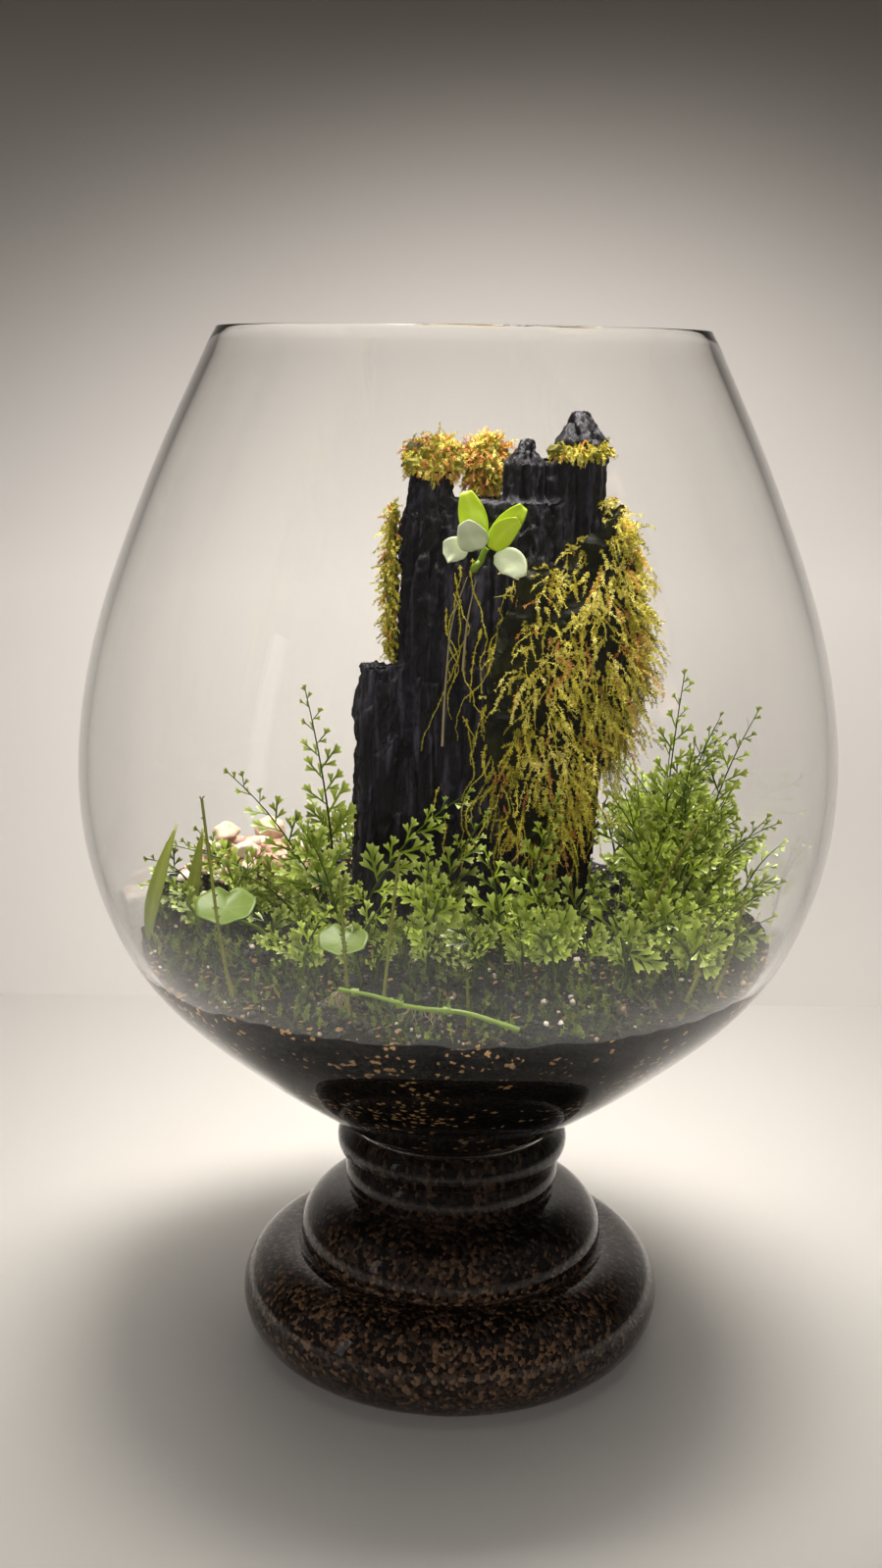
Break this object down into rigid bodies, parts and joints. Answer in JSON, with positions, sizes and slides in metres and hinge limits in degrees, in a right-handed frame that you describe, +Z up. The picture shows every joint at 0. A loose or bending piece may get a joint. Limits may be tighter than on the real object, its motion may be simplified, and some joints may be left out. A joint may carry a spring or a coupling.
{
  "type": "glass plant terrarium",
  "caption": "Footed, open-topped blown glass bowl planted as a terrarium: soil, gravel in the hollow foot, a charred stump with moss and a plantlet, ferns, pebbles.",
  "frame": {"origin": "centre of the ring that the foot stands on", "axes": "+Z up along the vessel's axis, -Y towards the viewer, +X to the viewer's right"},
  "size_m": [0.2, 0.2, 0.278],
  "materials": {
    "clear_glass": "clear, smooth blown glass",
    "brown_gravel": "fine dark brown and ochre gravel",
    "black_soil": "damp black granular soil with small tan grains",
    "charred_wood": "charred, split grain, slightly satin",
    "moss": "fine yellow-green moss strands, matt",
    "fern_green": "fresh green leaf, softly glossy",
    "pale_leaf": "pale lime leaf, softly glossy",
    "creeping_stem": "olive stems and straps, matt",
    "cream_pebble": "rounded cream and pink pebbles, matt"
  },
  "bodies": {
    "root": {"charcoal_piece": "charred_wood", "charred_stump": "charred_wood", "creeping_stem_1": "creeping_stem", "creeping_stem_2": "creeping_stem", "creeping_stem_3": "creeping_stem", "creeping_stem_4": "creeping_stem", "creeping_stem_5": "creeping_stem", "creeping_stem_6": "creeping_stem", "creeping_stem_7": "creeping_stem", "epiphyte_leaf_1": "pale_leaf", "epiphyte_leaf_2": "pale_leaf", "epiphyte_leaf_3": "pale_leaf", "epiphyte_leaf_4": "pale_leaf", "epiphyte_leaf_5": "pale_leaf", "epiphyte_leaf_6": "pale_leaf", "epiphyte_rhizome": "pale_leaf", "epiphyte_root_1": "pale_leaf", "epiphyte_root_2": "pale_leaf", "fern_back_1": "fern_green", "fern_back_2": "fern_green", "fern_front_1": "fern_green", "fern_front_2": "fern_green", "fern_front_3": "fern_green", "fern_front_4": "fern_green", "fern_left_1": "fern_green", "fern_left_2": "fern_green", "fern_left_3": "fern_green", "fern_left_4": "fern_green", "fern_left_5": "fern_green", "fern_right_1": "fern_green", "fern_right_2": "fern_green", "fern_right_3": "fern_green", "fern_right_4": "fern_green", "fern_right_5": "fern_green", "fern_right_6": "fern_green", "fern_right_7": "fern_green", "fern_right_8": "fern_green", "foot_gravel": "brown_gravel", "glass_vessel": "clear_glass", "moss_band_right": "moss", "moss_cap_left": "moss", "moss_cap_middle": "moss", "moss_drape": "moss", "moss_side_left": "moss", "pebble_1": "cream_pebble", "pebble_2": "cream_pebble", "pebble_3": "cream_pebble", "pebble_4": "cream_pebble", "pebble_5": "cream_pebble", "pebble_bed": "cream_pebble", "round_leaf_1": "pale_leaf", "round_leaf_2": "pale_leaf", "round_leaf_stalk_1": "creeping_stem", "round_leaf_stalk_2": "creeping_stem", "runner_stem": "pale_leaf", "soil_bed": "black_soil", "strap_leaf_1": "creeping_stem", "strap_leaf_2": "creeping_stem"}
  },
  "joints": []
}
